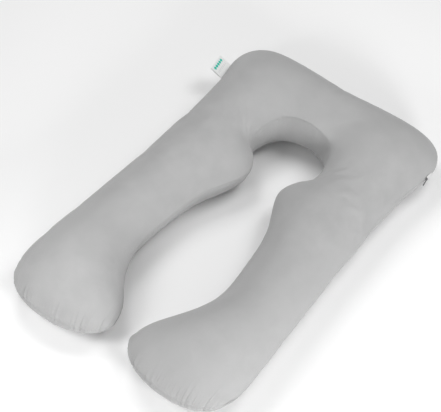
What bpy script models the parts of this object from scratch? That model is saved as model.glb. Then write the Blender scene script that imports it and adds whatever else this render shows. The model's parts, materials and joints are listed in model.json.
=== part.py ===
"""U-shaped body pillow lying on its back: a stuffed cover sewn from an upper
and a lower panel, a folded label in its outer seam, and the zip's slider and
puller.  Metres, Z up, lying on z = 0.  X is the width, +Y points to the bar
that goes behind the head, and the middle of the footprint is the origin."""

import math

import bmesh
import bpy
import numpy as np
from mathutils import Matrix, Vector

# ---- pillow -----------------------------------------------------------------
# One row for each rib of the stuffed cover, from the middle of the head bar
# down one leg to its toe.  A rib runs from the outer seam to the inner seam.
#    rib            outer x  outer y  inner x  inner y   crown  inner seam  wall
#                                                              height    swell
RIBS = [
    ("bar middle",  0.000,   0.685,  0.000,   0.445,   0.190,    0.165,   0.035),
    ("bar side",    0.170,   0.695,  0.075,   0.435,   0.185,    0.155,   0.035),
    ("bar corner",  0.340,   0.685,  0.115,   0.405,   0.190,    0.135,   0.030),
    ("corner",      0.415,   0.600,  0.135,   0.335,   0.190,    0.125,   0.025),
    ("hole side",   0.400,   0.445,  0.130,   0.285,   0.185,    0.115,   0.015),
    ("neck",        0.395,   0.280,  0.090,   0.255,   0.185,    0.100,   0.005),
    ("shoulder",    0.400,   0.185,  0.065,   0.175,   0.185,    0.095,   0.005),
    ("under arm",   0.405,   0.040,  0.130,   0.025,   0.185,    0.095,   0.000),
    ("rib cage",    0.415,  -0.105,  0.155,  -0.110,   0.190,    0.090,   0.000),
    ("waist",       0.425,  -0.260,  0.165,  -0.260,   0.195,    0.085,   0.000),
    ("knee",        0.435,  -0.395,  0.135,  -0.365,   0.205,    0.080,   0.000),
    ("ankle",       0.440,  -0.515,  0.055,  -0.480,   0.200,    0.080,   0.000),
    ("toe",         0.425,  -0.565,  0.035,  -0.545,   0.185,    0.080,   0.000),
]
RINGS_PER_RIB = 4        # rings of the mesh from one rib to the next
TOE_RINGS = 12           # rings in the last gap, crowded towards the toe seam
TOE_CROWDING = 1.6
ACROSS = 17              # points over the crown from seam to seam
SEAM_CROWDING = 0.85     # under 1 sets the points a little more evenly than a circle does
OUTER_SEAM = 0.085       # height of the outer seam over the floor
FULL_SWELL = 0.0190      # the membrane's swelling that gives the crown's full height
CROWN_POWER = 0.47       # 0.5 is a round crown, less is fuller at the seams
SEAM_PINCH = 0.11        # over 0 lets the two panels meet at an angle in the seam
TOE_BOW = 0.105          # how far the toe seam bows out past the toe rib
TOE_BOW_POWER = 1.3
TOE_ROUNDING = 2.15      # 2 is an ellipse, more is squarer at the toe's corners
LEAST_SWELL = 3e-5       # keeps the two panels apart in the toe's sharp corners
FLOOR_FILL = 0.60        # fill at which the lower panel reaches the floor
TUCK_ROUNDING = 1.5      # 1 goes straight down from the seam to the floor
WALL_SAG = 1.4           # over 1 puts the fullest part of the hole's wall nearer to the floor

# ---- label, folded double and caught in the outer seam of the left leg -------
LABEL_WIDTH = 0.070      # along the seam
LABEL_REACH = 0.052      # from the seam to the fold
LABEL_TILT = math.radians(32)
LABEL_LEAF = 0.0010      # thickness of one leaf
LABEL_GAP = 0.0008       # air between the leaves
LABEL_CURL = 0.004       # how far the fold lifts from a straight tag
LABEL_Y = 0.517          # where it sits along the seam
LABEL_OFF = 0.0016       # how far off the seam its open end stops
LABEL_STEPS = 8          # points along each leaf
FOLD_STEPS = 9           # points round the fold

# ---- zip slider and puller, at the head end of the right leg's outer seam ----
SLIDER_SIZE = (0.0026, 0.0100, 0.0060)     # out of the cover, along it, upright
SLIDER_CORNER = 0.0018   # radius of its four corners
SLIDER_Y = 0.540
BRIDGE_WIRE = 0.0012     # diameter of the bridge's wire
BRIDGE_SPAN = 0.0060     # between the middles of its two legs
BRIDGE_RISE = 0.0030     # how far it stands off the body
BRIDGE_SINK = 0.0008     # how deep its legs go into the body
BRIDGE_POST = 0.6        # share of the rise that is straight leg
PULLER_LENGTH = 0.0240
PULLER_WIDTH = 0.0070
PULLER_NECK = 0.0050
PULLER_THICK = 0.0010
PULLER_EYE = 0.0030      # diameter of the hole
PULLER_HANG = math.radians(46)             # below the line of the seam
CLEAR = 0.0004           # air between pieces that meet


def sampled_ribs(at):
    """The rib table read along a smooth curve at the places in `at`, where a
    whole number is a rib.  The other leg mirrors the ribs over the bar."""
    table = np.array([rib[1:] for rib in RIBS])
    before = table[1] * np.array([-1, 1, -1, 1, 1, 1, 1])
    after = 2 * table[-1] - table[-2]
    table = np.vstack([before, table, after])
    first = np.minimum(at.astype(int), len(RIBS) - 2)
    f = (at - first)[:, None]
    p0, p1, p2, p3 = (table[first + k] for k in range(4))
    return 0.5 * (2 * p1 + (p2 - p0) * f + (2 * p0 - 5 * p1 + 4 * p2 - p3) * f**2
                  + (3 * p1 - p0 - 3 * p2 + p3) * f**3)


def membrane(plan):
    """How far a panel held at its seam swells at each point of the ring grid:
    the height of a stretched skin under even pressure, doubled.  The bar's
    middle is left free, because the other leg mirrors it there."""
    rings, points = plan.shape[:2]
    index = np.arange(rings * points).reshape(rings, points)
    a, b = index[:-1, :-1].ravel(), index[1:, :-1].ravel()
    c, d = index[1:, 1:].ravel(), index[:-1, 1:].ravel()
    place = plan.reshape(-1, 2)
    short = (np.linalg.norm(place[a] - place[c], axis=1)
             < np.linalg.norm(place[b] - place[d], axis=1))[:, None]
    corners = np.vstack([np.where(short, np.stack([a, b, c], 1), np.stack([a, b, d], 1)),
                         np.where(short, np.stack([a, c, d], 1), np.stack([b, c, d], 1))])
    place = place[corners]
    side = np.roll(place, -1, axis=1) - np.roll(place, 1, axis=1)     # opposite each corner
    turned = side[:, 0, 0] * side[:, 1, 1] - side[:, 0, 1] * side[:, 1, 0]
    area = np.maximum(np.abs(turned) / 2, 1e-9)
    stiff = np.zeros((index.size, index.size))
    push = np.zeros(index.size)
    for i in range(3):
        np.add.at(push, corners[:, i], 2 * area / 3)
        for j in range(3):
            pull = (side[:, i] * side[:, j]).sum(axis=1) / (4 * area)
            np.add.at(stiff, (corners[:, i], corners[:, j]), pull)
    free = index[:-1, 1:-1].ravel()
    swell = np.zeros(index.size)
    solved = np.linalg.solve(stiff[np.ix_(free, free)], push[free])
    swell[free] = np.maximum(solved, LEAST_SWELL)
    return swell.reshape(rings, points)


def leg_surface():
    """Points of the upper and the lower panel of one leg and half the bar,
    as rings from the bar's middle to the toe, each from outer to inner seam."""
    last = len(RIBS) - 2
    body = np.arange(last * RINGS_PER_RIB) / RINGS_PER_RIB
    toe = last + 1 - (1 - np.linspace(0, 1, TOE_RINGS)) ** TOE_CROWDING
    at = np.concatenate([body, toe])
    rib = sampled_ribs(at)
    outer, inner = rib[:, 0:2], rib[:, 2:4]
    crown, inner_seam, wall = rib[:, 4:5], rib[:, 5:6], np.maximum(rib[:, 6:7], 0)
    bow = TOE_BOW * np.clip(at - last, 0, 1)[:, None] ** TOE_BOW_POWER

    half = np.linalg.norm(outer - inner, axis=1)[:, None] / 2
    across = (outer - inner) / (2 * half)
    along = np.stack([across[:, 1], -across[:, 0]], axis=1)

    # s runs from 1 at the outer seam to -1 at the inner one
    turn = np.cos(np.linspace(0, math.pi, ACROSS))
    s = (np.sign(turn) * np.abs(turn) ** SEAM_CROWDING)[None, :]
    plan = (outer + inner)[:, None] / 2 + (s[0, :, None] * (outer - inner)[:, None]) / 2
    bowed = (1 - np.abs(s) ** TOE_ROUNDING) ** (1 / TOE_ROUNDING) * bow
    plan = plan + bowed[..., None] * along[:, None]

    fill = membrane(plan) / FULL_SWELL       # 0 at the seam, about 1 at the crown
    seam = OUTER_SEAM + (inner_seam - OUTER_SEAM) * (1 - s) / 2
    pinch = SEAM_PINCH ** CROWN_POWER
    rise = ((fill + SEAM_PINCH) ** CROWN_POWER - pinch) / ((1 + SEAM_PINCH) ** CROWN_POWER - pinch)
    top = seam + (crown - seam) * rise

    # the lower panel rounds down to the floor and lies flat on it
    down = np.clip(fill / FLOOR_FILL, 0, 1)
    under = seam * (1 - down) ** TUCK_ROUNDING
    under[under < 1e-6] = 0.0

    # the wall of the head hole swells out under its high seam
    deep = np.clip(1 - under / seam, 0, 1) ** WALL_SAG
    bulge = wall * np.sin(math.pi * deep) * (s < 0)
    lower_plan = plan - bulge[..., None] * across[:, None]
    upper = np.concatenate([plan, top[..., None]], axis=2)
    lower = np.concatenate([lower_plan, under[..., None]], axis=2)
    return upper, lower


def make_pillow():
    upper, lower = leg_surface()
    bm = bmesh.new()
    rings = []
    for over, below in zip(upper, lower):
        ring_top = [bm.verts.new(point) for point in over]
        if over is upper[-1]:
            ring_low = ring_top          # both panels end in the toe seam
        else:
            ring_low = [ring_top[0]] + [bm.verts.new(p) for p in below[1:-1]] + [ring_top[-1]]
        rings.append((ring_top, ring_low))
    for (top_a, low_a), (top_b, low_b) in zip(rings, rings[1:]):
        for k in range(ACROSS - 1):
            bm.faces.new((top_a[k], top_b[k], top_b[k + 1], top_a[k + 1]))
            bm.faces.new((low_a[k], low_a[k + 1], low_b[k + 1], low_b[k]))
    pillow = as_object("pillow", bm, smooth=True)
    mirror = pillow.modifiers.new("other leg", "MIRROR")
    mirror.use_axis = (True, False, False)
    mirror.use_clip = True
    mirror.merge_threshold = 0.0001
    return pillow


def as_object(name, bm, smooth=False):
    bmesh.ops.recalc_face_normals(bm, faces=bm.faces)
    mesh = bpy.data.meshes.new(name)
    bm.to_mesh(mesh)
    bm.free()
    for face in mesh.polygons:
        face.use_smooth = smooth
    piece = bpy.data.objects.new(name, mesh)
    collection.objects.link(piece)
    return piece


def seam_at(y, leg):
    """Point and outward direction of the outer seam; leg is 1 right, -1 left."""
    rib = sampled_ribs(np.linspace(2.5, len(RIBS) - 2, 400))
    k = int(np.argmin(np.abs(rib[:, 1] - y)))
    step = rib[k + 1, 0:2] - rib[k - 1, 0:2]
    out = Vector((-step[1], step[0], 0)).normalized()
    if out.x < 0:
        out = -out
    out.x *= leg
    return Vector((leg * rib[k, 0], rib[k, 1], OUTER_SEAM)), out


def placed(origin, out, tilt=0.0):
    """Frame with X out of the cover, tilted up by `tilt`, and Y along the seam."""
    up = Vector((0, 0, 1))
    x_axis = out * math.cos(tilt) + up * math.sin(tilt)
    z_axis = up * math.cos(tilt) - out * math.sin(tilt)
    y_axis = z_axis.cross(x_axis)
    turn = Matrix((x_axis, y_axis, z_axis)).transposed().to_4x4()
    return Matrix.Translation(origin) @ turn


def make_label():
    """A strip that goes out from the seam, folds and comes back on itself."""
    rise = (LABEL_GAP + LABEL_LEAF) / 2
    path = [(x, rise) for x in np.linspace(0, LABEL_REACH - rise, LABEL_STEPS)]
    for angle in np.linspace(90, -90, FOLD_STEPS)[1:-1]:
        a = math.radians(angle)
        path.append((LABEL_REACH - rise + rise * math.cos(a), rise * math.sin(a)))
    path += [(x, -rise) for x in np.linspace(LABEL_REACH - rise, 0, LABEL_STEPS)]
    bm = bmesh.new()
    rows = []
    for x, z in path:
        curl = LABEL_CURL * (x / LABEL_REACH) ** 2
        rows.append([bm.verts.new((x, y, z + curl))
                     for y in np.linspace(-LABEL_WIDTH / 2, LABEL_WIDTH / 2, 5)])
    for row, following in zip(rows, rows[1:]):
        for k in range(4):
            bm.faces.new((row[k], row[k + 1], following[k + 1], following[k]))
    seam, out = seam_at(LABEL_Y, leg=-1)
    frame = placed(seam + out * LABEL_OFF, out, LABEL_TILT)
    bmesh.ops.transform(bm, matrix=frame, verts=bm.verts)
    label = as_object("label", bm)
    leaf = label.modifiers.new("leaf", "SOLIDIFY")
    leaf.thickness = LABEL_LEAF
    leaf.offset = 0
    return label


def joined(piece, other):
    """Fuses `other` into `piece` and removes it."""
    union = piece.modifiers.new("fuse", "BOOLEAN")
    union.operation = "UNION"
    union.solver = "EXACT"
    union.object = other
    bpy.context.view_layer.update()
    shape = bpy.data.meshes.new_from_object(
        piece.evaluated_get(bpy.context.evaluated_depsgraph_get()))
    piece.modifiers.clear()
    piece.data = shape
    bpy.data.objects.remove(other)


def make_slider(frame):
    """A flat body that rides on the seam, with the bridge that holds the puller."""
    deep, long, tall = SLIDER_SIZE
    bm = bmesh.new()
    bmesh.ops.create_cube(bm, size=1)
    bmesh.ops.scale(bm, vec=SLIDER_SIZE, verts=bm.verts)
    bmesh.ops.translate(bm, vec=(deep / 2, 0, 0), verts=bm.verts)
    upright = [e for e in bm.edges
               if abs(e.verts[0].co.x - e.verts[1].co.x) > deep / 2]
    bmesh.ops.bevel(bm, geom=upright, offset=SLIDER_CORNER, segments=4, profile=0.5,
                    affect="EDGES")
    slider = as_object("zip_slider", bm)

    wire = bpy.data.curves.new("bridge", "CURVE")
    wire.dimensions = "3D"
    wire.bevel_depth = BRIDGE_WIRE / 2
    wire.bevel_resolution = 2
    wire.use_fill_caps = True
    foot, post = deep - BRIDGE_SINK, deep + BRIDGE_RISE * BRIDGE_POST
    arch = [(foot, -BRIDGE_SPAN / 2), (post, -BRIDGE_SPAN / 2)]
    for angle in np.linspace(180, 0, 9)[1:-1]:
        a = math.radians(angle)
        arch.append((post + BRIDGE_RISE * (1 - BRIDGE_POST) * math.sin(a),
                     BRIDGE_SPAN / 2 * math.cos(a)))
    arch += [(post, BRIDGE_SPAN / 2), (foot, BRIDGE_SPAN / 2)]
    spline = wire.splines.new("POLY")
    spline.points.add(len(arch) - 1)
    for point, (x, y) in zip(spline.points, arch):
        point.co = (x, y, 0, 1)
    bridge = bpy.data.objects.new("bridge", wire)
    collection.objects.link(bridge)
    joined(slider, solid_of(bridge))
    slider.data.transform(frame)
    return slider


def solid_of(curve_object):
    """A curve's bevelled shape as a mesh object of its own."""
    bpy.context.view_layer.update()
    shape = bpy.data.meshes.new_from_object(
        curve_object.evaluated_get(bpy.context.evaluated_depsgraph_get()))
    name = curve_object.name
    bpy.data.objects.remove(curve_object)
    solid = bpy.data.objects.new(name, shape)
    collection.objects.link(solid)
    return solid


def make_puller(frame):
    """A flat teardrop tab whose eye goes round the bridge's front leg."""
    radius_eye, radius_end = PULLER_NECK / 2, PULLER_WIDTH / 2
    reach = PULLER_LENGTH - radius_eye - radius_end
    lean = math.asin((radius_end - radius_eye) / reach)
    outline = []
    for angle in np.linspace(math.pi / 2 + lean, 3 * math.pi / 2 - lean, 13):
        outline.append((radius_eye * math.cos(angle), radius_eye * math.sin(angle)))
    for angle in np.linspace(-math.pi / 2 - lean, math.pi / 2 + lean, 15):
        outline.append((reach + radius_end * math.cos(angle), radius_end * math.sin(angle)))
    bm = bmesh.new()
    rim = [bm.verts.new((u, v, 0)) for u, v in outline]
    edges = [bm.edges.new((a, b)) for a, b in zip(rim, rim[1:] + rim[:1])]
    eye = bmesh.ops.create_circle(bm, radius=PULLER_EYE / 2, segments=16)
    edges += list({e for v in eye["verts"] for e in v.link_edges})
    bmesh.ops.triangle_fill(bm, edges=edges, use_beauty=True)
    puller = as_object("zip_puller", bm)

    # u points away from the eye, and the tab lies beside the cover
    hang = Vector((0, -math.cos(PULLER_HANG), -math.sin(PULLER_HANG)))
    out = Vector((1, 0, 0))
    lie = Matrix((hang, out.cross(hang), out)).transposed().to_4x4()
    deep = SLIDER_SIZE[0]
    offset = Vector((deep + CLEAR + PULLER_THICK / 2, -BRIDGE_SPAN / 2, 0))
    offset += hang * (PULLER_EYE / 2 - BRIDGE_WIRE / 2 - CLEAR)
    puller.data.transform(frame @ Matrix.Translation(offset) @ lie)
    tab = puller.modifiers.new("tab", "SOLIDIFY")
    tab.thickness = PULLER_THICK
    tab.offset = 0
    return puller


def material(name, colour, roughness, metallic=0.0):
    look = bpy.data.materials.new(name)
    look.use_nodes = True
    shader = look.node_tree.nodes["Principled BSDF"]
    shader.inputs["Base Color"].default_value = (*colour, 1)
    shader.inputs["Roughness"].default_value = roughness
    shader.inputs["Metallic"].default_value = metallic
    return look


def centre_footprint(pieces):
    """Moves everything so that the middle of the footprint is over the origin."""
    bpy.context.view_layer.update()
    graph = bpy.context.evaluated_depsgraph_get()
    corners = [Vector(c) for p in pieces for c in p.evaluated_get(graph).bound_box]
    middle_x = (min(c.x for c in corners) + max(c.x for c in corners)) / 2
    middle_y = (min(c.y for c in corners) + max(c.y for c in corners)) / 2
    for piece in pieces:
        piece.location = (-middle_x, -middle_y, 0)


for old in list(bpy.data.objects):
    bpy.data.objects.remove(old)
collection = bpy.data.collections.new("body_pillow")
bpy.context.scene.collection.children.link(collection)

pillow = make_pillow()
label = make_label()
seam, out = seam_at(SLIDER_Y, leg=1)
zip_frame = placed(seam + out * CLEAR, out)
slider = make_slider(zip_frame)
puller = make_puller(zip_frame)

pillow.data.materials.append(material("cover_jersey", (0.46, 0.46, 0.46), 0.9))
label.data.materials.append(material("label_satin", (0.85, 0.85, 0.84), 0.6))
slider.data.materials.append(material("slider_metal", (0.10, 0.10, 0.11), 0.45, 0.6))
puller.data.materials.append(material("puller_metal", (0.09, 0.09, 0.10), 0.45, 0.6))
centre_footprint([pillow, label, slider, puller])
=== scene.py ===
import json
import math

import bmesh
import bpy
import numpy as np
from mathutils import Matrix, Vector

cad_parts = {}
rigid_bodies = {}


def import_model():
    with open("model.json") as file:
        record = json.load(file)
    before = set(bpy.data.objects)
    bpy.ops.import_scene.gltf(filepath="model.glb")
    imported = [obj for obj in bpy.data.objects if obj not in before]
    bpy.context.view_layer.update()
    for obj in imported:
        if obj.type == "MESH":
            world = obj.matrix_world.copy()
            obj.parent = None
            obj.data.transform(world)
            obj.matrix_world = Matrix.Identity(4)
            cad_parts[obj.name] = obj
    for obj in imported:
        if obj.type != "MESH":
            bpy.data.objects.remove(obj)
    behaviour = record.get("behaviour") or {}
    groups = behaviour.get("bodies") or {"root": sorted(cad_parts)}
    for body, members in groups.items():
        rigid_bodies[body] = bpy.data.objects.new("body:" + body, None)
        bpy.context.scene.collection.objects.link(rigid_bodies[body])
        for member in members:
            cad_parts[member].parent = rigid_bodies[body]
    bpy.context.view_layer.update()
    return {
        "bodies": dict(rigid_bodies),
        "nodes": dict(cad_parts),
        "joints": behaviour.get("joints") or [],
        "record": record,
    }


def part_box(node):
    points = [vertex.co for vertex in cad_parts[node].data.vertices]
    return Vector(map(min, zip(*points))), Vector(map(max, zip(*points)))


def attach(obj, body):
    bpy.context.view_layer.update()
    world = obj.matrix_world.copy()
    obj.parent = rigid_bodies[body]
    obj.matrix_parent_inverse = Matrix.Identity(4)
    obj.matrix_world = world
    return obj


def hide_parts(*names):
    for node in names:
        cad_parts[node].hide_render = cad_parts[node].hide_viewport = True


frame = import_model()
print("frame loaded, nodes:", ", ".join(sorted(frame["nodes"])))


# one row for each rib of the cover, from the middle of the head bar down a leg to its toe
# rib, outer x, outer y, inner x, inner y, crown, inner seam height, wall swell, rings to the next
pillow = {
    "ribs": [
        ("bar middle", 0.000, 0.685, 0.000, 0.445, 0.190, 0.165, 0.035, 26),
        ("bar side", 0.170, 0.695, 0.075, 0.435, 0.185, 0.155, 0.035, 18),
        ("bar corner", 0.340, 0.685, 0.115, 0.405, 0.190, 0.135, 0.030, 24),
        ("corner", 0.415, 0.600, 0.135, 0.335, 0.190, 0.125, 0.025, 20),
        ("hole side", 0.400, 0.445, 0.130, 0.285, 0.185, 0.115, 0.015, 18),
        ("neck", 0.395, 0.280, 0.090, 0.255, 0.185, 0.100, 0.005, 16),
        ("shoulder", 0.400, 0.185, 0.065, 0.175, 0.185, 0.095, 0.005, 22),
        ("under arm", 0.405, 0.040, 0.130, 0.025, 0.185, 0.095, 0.000, 18),
        ("rib cage", 0.415, -0.105, 0.155, -0.110, 0.190, 0.090, 0.000, 18),
        ("waist", 0.425, -0.260, 0.165, -0.260, 0.195, 0.085, 0.000, 16),
        ("knee", 0.435, -0.395, 0.135, -0.365, 0.205, 0.080, 0.000, 18),
        ("ankle", 0.440, -0.515, 0.055, -0.480, 0.200, 0.080, 0.000, 40),
        ("toe", 0.425, -0.565, 0.035, -0.545, 0.185, 0.080, 0.000, 0),
    ],
    "middleY": 0.018,        # middle of the pattern's length
    "across": 97,            # points from the outer seam to the inner one
    "seamCrowding": 0.30,    # share by which those points draw together at the seams
    "sectionSquareness": 0.85,
    "toeCrowding": 1.3,
    "outerSeam": 0.085,      # height of the outer seam over the floor
    "fullSwell": 0.0190,     # swelling of the panel that gives the full crown
    "leastSwell": 3e-5,
    "crownPower": 0.47,
    "seamPinch": 0.11,       # lets the two panels meet at an angle in the seam
    "toeBow": 0.100,
    "toeBowPower": 1.3,
    "toeRounding": 2.15,
    "toeSwell": 0.009,       # how far the lower panel puffs out under the seam at the toe
    "toeSwellRise": 0.6,     # under 1 puts the fullest part nearer to the seam
    "floorFill": 0.60,       # fill at which the lower panel reaches the floor
    "tuckRounding": 1.5,
    "wallSag": 1.4,          # over 1 puts the fullest part of the hole's wall nearer to the floor
}


def ribAt(at):
    # the ribs read along a smooth curve: whole numbers are ribs, negative ones on the left leg
    right = np.array([rib[1:8] for rib in pillow["ribs"]])
    left = right[:0:-1] * (-1, 1, -1, 1, 1, 1, 1)
    rows = np.vstack([left, right])
    rows = np.vstack([2 * rows[:1] - rows[1:2], rows, 2 * rows[-1:] - rows[-2:-1]])
    place = at + len(left)
    first = np.minimum(place.astype(int), len(rows) - 4)
    f = (place - first)[:, None]
    p0, p1, p2, p3 = (rows[first + step] for step in range(4))
    return 0.5 * (2 * p1 + (p2 - p0) * f + (2 * p0 - 5 * p1 + 4 * p2 - p3) * f**2
                  + (3 * p1 - p0 - 3 * p2 + p3) * f**3)


def ringPlaces():
    # where every ring of the mesh lies along the ribs, from the left toe to the right one
    half = [0.0]
    for start, rib in enumerate(pillow["ribs"][:-1]):
        steps = np.arange(1, rib[-1] + 1) / rib[-1]
        if start == len(pillow["ribs"]) - 2:
            steps = 1 - (1 - steps) ** pillow["toeCrowding"]
        half.extend(start + steps)
    half = np.array(half)
    return np.concatenate([-half[:0:-1], half])


def swelling(plan):
    # height of a stretched skin held at the seams under even pressure, solved ring by ring
    rings, points = plan.shape[:2]
    corner = {"a": (0, 0), "b": (1, 0), "c": (1, 1), "d": (0, 1)}
    own = np.zeros((rings, points, points))
    toNext = np.zeros((rings - 1, points, points))
    push = np.zeros((rings, points))
    i, k = (grid.ravel() for grid in np.mgrid[:rings - 1, :points - 1])
    acLength = np.linalg.norm(plan[i, k] - plan[i + 1, k + 1], axis=1)
    bdLength = np.linalg.norm(plan[i + 1, k] - plan[i, k + 1], axis=1)
    acShort = acLength < bdLength
    for names, chosen in (("abc", acShort), ("acd", acShort), ("abd", ~acShort), ("bcd", ~acShort)):
        ring = [i[chosen] + corner[name][0] for name in names]
        point = [k[chosen] + corner[name][1] for name in names]
        place = np.stack([plan[ring[n], point[n]] for n in range(3)], 1)
        side = np.roll(place, -1, axis=1) - np.roll(place, 1, axis=1)
        turned = side[:, 0, 0] * side[:, 1, 1] - side[:, 0, 1] * side[:, 1, 0]
        area = np.maximum(np.abs(turned) / 2, 1e-10)
        for m in range(3):
            np.add.at(push, (ring[m], point[m]), 2 * area / 3)
            for n in range(3):
                pull = (side[:, m] * side[:, n]).sum(axis=1) / (4 * area)
                same = ring[m] == ring[n]
                np.add.at(own, (ring[m][same], point[m][same], point[n][same]), pull[same])
                down = ring[m] < ring[n]
                np.add.at(toNext, (ring[m][down], point[m][down], point[n][down]), pull[down])
    free = slice(1, points - 1)
    reduced, load = [own[1, free, free]], [push[1, free]]
    for r in range(2, rings - 1):
        link = toNext[r - 1, free, free]
        solved = np.linalg.solve(reduced[-1], np.column_stack([link, load[-1]]))
        reduced.append(own[r, free, free] - link.T @ solved[:, :-1])
        load.append(push[r, free] - link.T @ solved[:, -1])
    swell = np.zeros((rings, points))
    for r in range(rings - 2, 0, -1):
        right = load[r - 1]
        if r < rings - 2:
            right = right - toNext[r, free, free] @ swell[r + 1, free]
        swell[r, free] = np.linalg.solve(reduced[r - 1], right)
    swell[1:-1, free] = np.maximum(swell[1:-1, free], pillow["leastSwell"])
    return swell


def coverPanels():
    # the upper and the lower panel of the stuffed cover as grids of points
    size = pillow
    at = ringPlaces()
    rib = ribAt(at)
    outer, inner = rib[:, 0:2], rib[:, 2:4]
    crown, innerSeam, wall = rib[:, 4:5], rib[:, 5:6], np.maximum(rib[:, 6:7], 0)
    last = len(size["ribs"]) - 2
    toToe = np.clip(np.abs(at) - last, 0, 1)[:, None]
    bow = size["toeBow"] * toToe ** size["toeBowPower"]
    half = np.linalg.norm(outer - inner, axis=1)[:, None] / 2
    across = (outer - inner) / (2 * half)
    along = np.stack([across[:, 1], -across[:, 0]], axis=1) * np.where(at < 0, -1, 1)[:, None]

    turn = np.linspace(0, math.pi, size["across"])
    turn = np.cos(turn - size["seamCrowding"] * np.sin(2 * turn) / 2)
    s = (np.sign(turn) * np.abs(turn) ** size["sectionSquareness"])[None, :]
    plan = (outer + inner)[:, None] / 2 + s[0, :, None] * (outer - inner)[:, None] / 2
    rounding = size["toeRounding"]
    front = (1 - np.abs(s) ** rounding) ** (1 / rounding)
    plan = plan + (front * bow)[..., None] * along[:, None]

    fill = swelling(plan) / size["fullSwell"]
    seam = size["outerSeam"] + (innerSeam - size["outerSeam"]) * (1 - s) / 2
    pinch, power = size["seamPinch"], size["crownPower"]
    rise = ((fill + pinch) ** power - pinch ** power) / ((1 + pinch) ** power - pinch ** power)
    top = seam + (crown - seam) * rise
    under = seam * (1 - np.clip(fill / size["floorFill"], 0, 1)) ** size["tuckRounding"]
    deep = np.clip(1 - under / seam, 0, 1)
    bulge = wall * np.sin(math.pi * deep ** size["wallSag"]) * (s < 0)
    puff = size["toeSwell"] * toToe * front * np.sin(math.pi * deep ** size["toeSwellRise"])
    lowPlan = plan - bulge[..., None] * across[:, None] + puff[..., None] * along[:, None]
    upper = np.concatenate([plan, top[..., None]], axis=2)
    lower = np.concatenate([lowPlan, under[..., None]], axis=2)
    # the pattern's middle sits where the solid has it
    low, high = np.array(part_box("pillow"))
    shift = (low + high) / 2 - (0, size["middleY"], 0)
    shift[2] = 0
    return upper + shift, lower + shift


def doubled(grid, axis):
    # a smooth value between each two neighbours of a grid, along one of its axes
    grid = np.moveaxis(grid, axis, 0)
    ends = np.concatenate([2 * grid[:1] - grid[1:2], grid, 2 * grid[-1:] - grid[-2:-1]])
    between = (9 * (ends[1:-2] + ends[2:-1]) - ends[:-3] - ends[3:]) / 16
    out = np.empty((2 * len(grid) - 1,) + grid.shape[1:])
    out[0::2] = grid
    out[1::2] = between
    return np.moveaxis(out, 0, axis)


def sewnMesh(name, upper, lower, flat=None):
    # both panels as one closed mesh whose edge points are shared along the seam
    rings, points = upper.shape[:2]
    topIndex = np.arange(rings * points).reshape(rings, points)
    lowIndex = topIndex.copy()
    lowIndex[1:-1, 1:-1] = rings * points + np.arange((rings - 2) * (points - 2)).reshape(
        rings - 2, points - 2)
    spots = np.vstack([upper.reshape(-1, 3), lower[1:-1, 1:-1].reshape(-1, 3)])

    def quads(index):
        return np.stack([index[:-1, :-1], index[:-1, 1:], index[1:, 1:], index[1:, :-1]], -1)

    faces = np.vstack([quads(topIndex).reshape(-1, 4), quads(lowIndex)[..., ::-1].reshape(-1, 4)])
    a, b, c = spots[faces[:, 0]], spots[faces[:, 1]], spots[faces[:, 2]]
    if np.einsum("ij,ij->", a, np.cross(b, c)) < 0:
        faces = faces[:, ::-1]
    mesh = bpy.data.meshes.new(name)
    mesh.from_pydata(spots.tolist(), [], faces.tolist())
    if flat is not None:
        spread = np.vstack([flat[0].reshape(-1, 2), flat[1].reshape(-1, 2)])
        lowFlat = rings * points + topIndex
        pairs = np.vstack([quads(topIndex).reshape(-1, 4),
                           quads(lowFlat)[..., ::-1].reshape(-1, 4)])
        if faces[0, 0] != topIndex[0, 0]:
            pairs = pairs[:, ::-1]
        layer = mesh.uv_layers.new(name="cut")
        layer.data.foreach_set("uv", spread[pairs.ravel()].ravel().astype(np.float32))
    mesh.polygons.foreach_set("use_smooth", [True] * len(mesh.polygons))
    piece = bpy.data.objects.new(name, mesh)
    bpy.context.scene.collection.objects.link(piece)
    return piece, topIndex, lowIndex


# the filling pushes the cloth out for a few frames, while the seam and the floor hold it
stuffing = {
    "frames": 20,
    "pressure": 4.0,
    "mass": 0.25,
    "stretch": 40.0,
    "shear": 15.0,
    "bending": 8.0,
    "slack": -0.004,         # negative shrink: the panels are cut a little long
    "mostMove": 0.004,
    "share": 0.6,            # part of the move that is kept
    "floorHold": 0.004,      # cloth this near the floor stays put
}


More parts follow.
